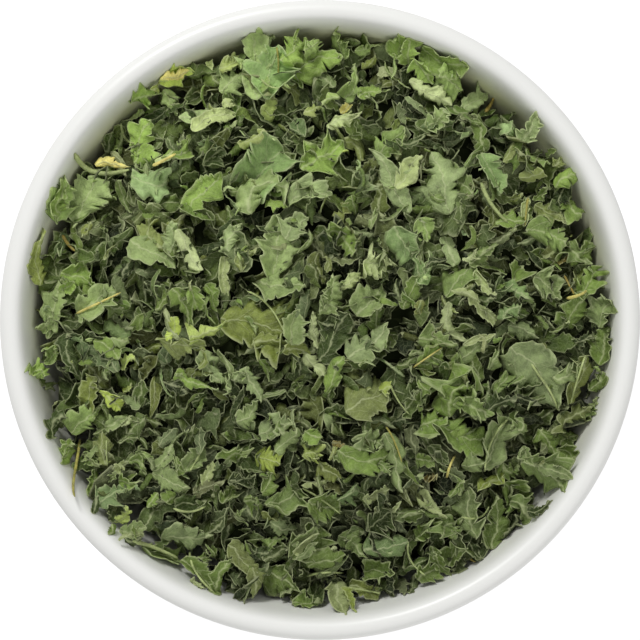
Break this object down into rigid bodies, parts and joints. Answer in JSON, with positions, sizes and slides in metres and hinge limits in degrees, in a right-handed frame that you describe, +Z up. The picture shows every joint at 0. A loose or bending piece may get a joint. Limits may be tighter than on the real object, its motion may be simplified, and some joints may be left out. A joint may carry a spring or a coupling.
{
  "type": "bowl of dried kale flakes",
  "caption": "Round white glazed bowl with a rounded lip, filled with a low heap of torn, curled dried kale flakes.",
  "frame": {"origin": "centre of the circle that the bowl's foot stands on", "axes": "+Z up, out of the bowl; +Y is the top of the picture and +X its right"},
  "size_m": [0.12, 0.12, 0.0583],
  "materials": {
    "white_porcelain": "gloss",
    "dried_kale": "matte"
  },
  "bodies": {
    "root": {"bowl": "white_porcelain", "kale_heap": "dried_kale"}
  },
  "joints": []
}
